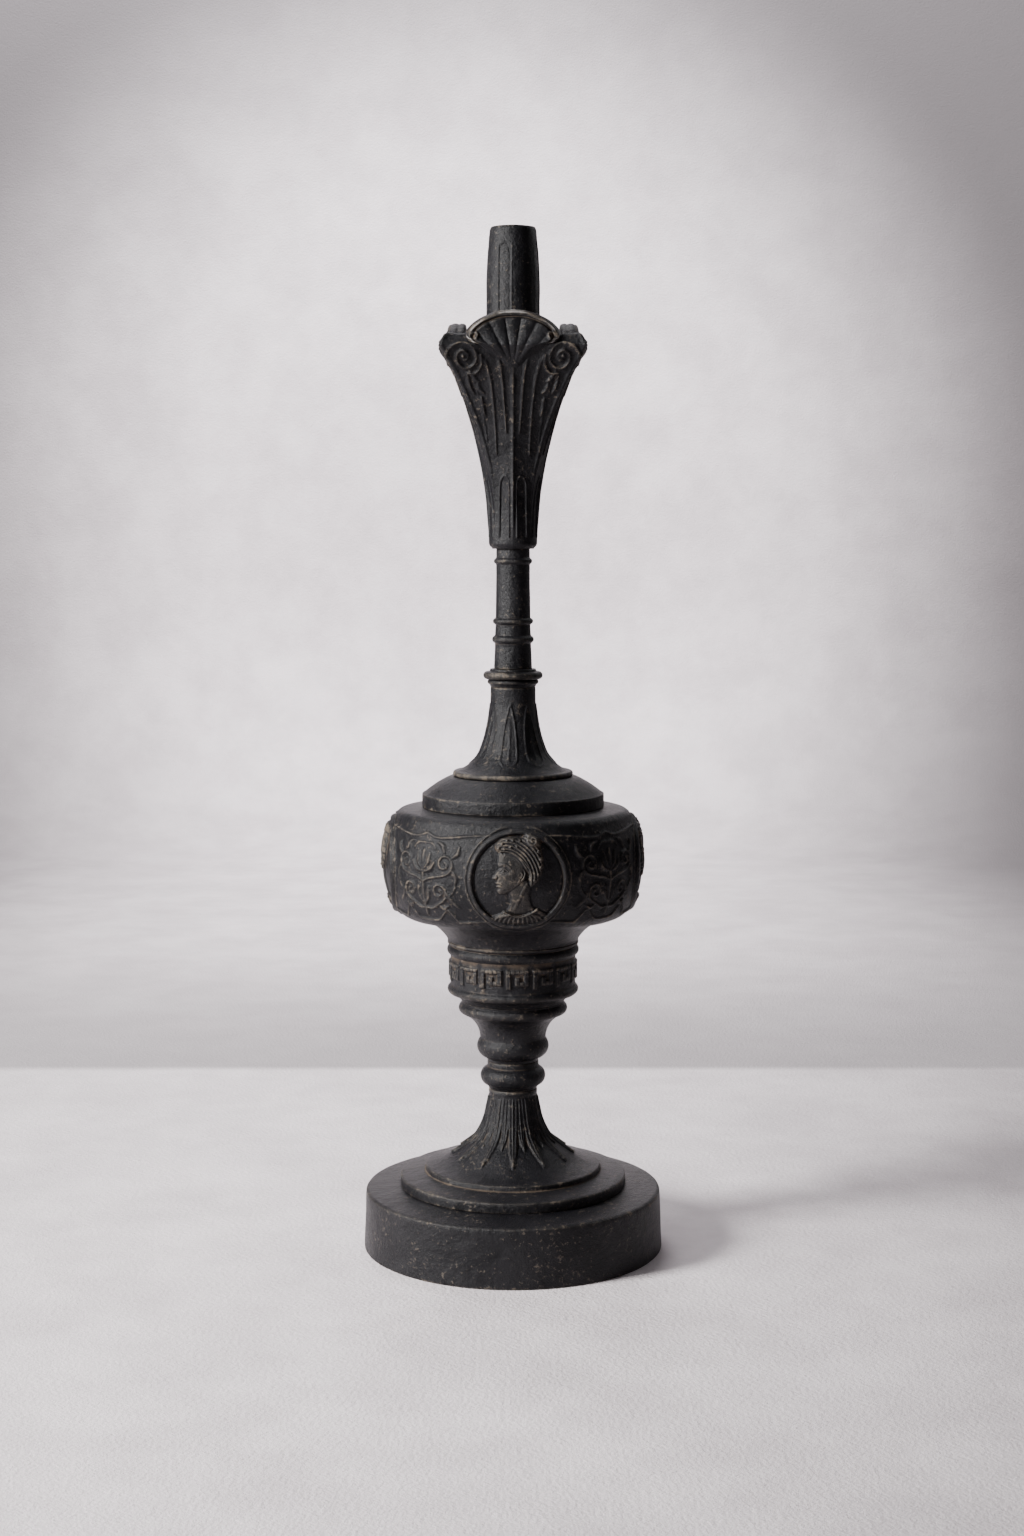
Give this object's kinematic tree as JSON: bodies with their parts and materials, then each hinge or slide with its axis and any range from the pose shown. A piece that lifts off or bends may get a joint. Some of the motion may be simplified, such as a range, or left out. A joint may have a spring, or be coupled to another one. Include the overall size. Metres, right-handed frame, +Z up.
{
  "type": "candlestick",
  "caption": "Tall ornamental column candlestick on a round stepped base, with a portrait drum, a square leafy capital and a lift-out drip pan and candle nozzle.",
  "frame": {"origin": "centre of the plinth's underside, on the column's axis", "axes": "+Z up along the column, -Y towards the front medallion's side, +X to the right seen from the front"},
  "size_m": [0.15, 0.15, 0.5035],
  "materials": {
    "black_iron": "worn satin black paint over cast iron, brown grime in the recesses",
    "steel": "dull oxidised steel"
  },
  "bodies": {
    "stand": {"plinth": "black_iron", "foot": "black_iron", "lower_knop": "black_iron", "baluster": "black_iron", "key_band": "black_iron", "drum": "black_iron", "medallion_front": "black_iron", "medallion_right": "black_iron", "medallion_back": "black_iron", "medallion_left": "black_iron", "medallion_nuts": "steel", "shoulder": "black_iron", "neck": "black_iron", "neck_collar": "black_iron", "shaft": "black_iron", "capital": "black_iron", "draw_rod": "steel", "base_washer": "steel", "base_nut": "steel", "top_washer": "steel", "top_nut": "steel"},
    "drip_pan": {"wax_pan": "black_iron"},
    "candle_nozzle": {"nozzle": "black_iron"}
  },
  "joints": [
    {"name": "pan_lift", "type": "slide", "parent": "stand", "child": "drip_pan", "axis": [0, 0, 1], "range_m": [0, 0.03]},
    {"name": "nozzle_lift", "type": "slide", "parent": "drip_pan", "child": "candle_nozzle", "axis": [0, 0, 1], "range_m": [0, 0.05]}
  ]
}
